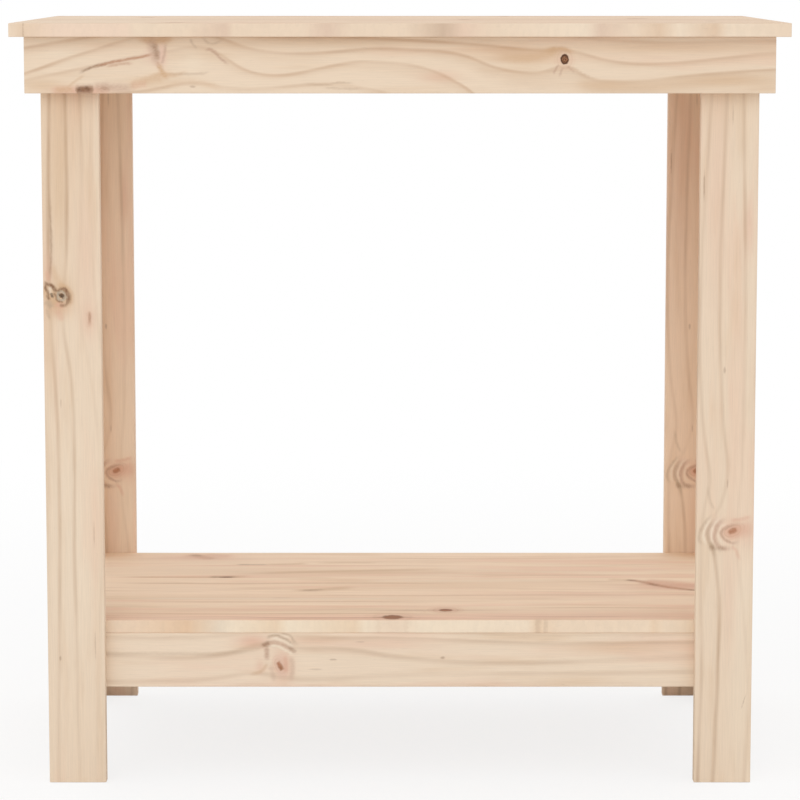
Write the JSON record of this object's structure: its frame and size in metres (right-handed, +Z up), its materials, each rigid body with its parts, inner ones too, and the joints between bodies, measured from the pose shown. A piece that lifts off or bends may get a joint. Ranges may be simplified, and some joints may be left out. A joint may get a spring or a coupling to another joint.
{
  "type": "potting bench",
  "caption": "Free-standing pine potting bench: rectangular worktop on an open frame of boards, with an apron below the top and a low storage shelf on rails.",
  "frame": {"origin": "on the floor, centred under the bounding box", "axes": "+Z up, +X to the right seen from the front, front faces -Y"},
  "size_m": [0.8, 0.5, 0.8],
  "materials": {
    "tabletop_wood": "planed pine, untreated",
    "shelf_wood": "planed pine, untreated",
    "leg_wood": "planed pine, untreated",
    "apron_wood": "planed pine, untreated",
    "rail_wood": "planed pine, untreated",
    "batten_wood": "planed pine, untreated",
    "dowel_wood": "turned hardwood",
    "screw_steel": "zinc plated"
  },
  "bodies": {
    "root": {"apron_screws": "screw_steel", "back_apron": "apron_wood", "back_left_leg_face_board": "leg_wood", "back_left_leg_side_board": "leg_wood", "back_lower_rail": "rail_wood", "back_right_leg_face_board": "leg_wood", "back_right_leg_side_board": "leg_wood", "batten_dowels": "dowel_wood", "cleat_screws": "screw_steel", "front_apron": "apron_wood", "front_left_leg_face_board": "leg_wood", "front_left_leg_side_board": "leg_wood", "front_lower_rail": "rail_wood", "front_right_leg_face_board": "leg_wood", "front_right_leg_side_board": "leg_wood", "left_apron": "apron_wood", "left_lower_rail": "rail_wood", "left_top_cleat": "batten_wood", "leg_dowels": "dowel_wood", "rail_screws": "screw_steel", "right_apron": "apron_wood", "right_lower_rail": "rail_wood", "right_top_cleat": "batten_wood", "shelf_batten_1": "batten_wood", "shelf_batten_2": "batten_wood", "shelf_plank_1": "shelf_wood", "shelf_plank_2": "shelf_wood", "shelf_plank_3": "shelf_wood", "shelf_plank_4": "shelf_wood", "shelf_plank_5": "shelf_wood", "shelf_screws": "screw_steel", "tabletop_plank_1": "tabletop_wood", "tabletop_plank_2": "tabletop_wood", "tabletop_plank_3": "tabletop_wood", "tabletop_plank_4": "tabletop_wood", "tabletop_plank_5": "tabletop_wood", "tabletop_plank_6": "tabletop_wood", "top_batten_1": "batten_wood", "top_batten_2": "batten_wood", "top_batten_3": "batten_wood", "top_screws": "screw_steel"}
  },
  "joints": []
}
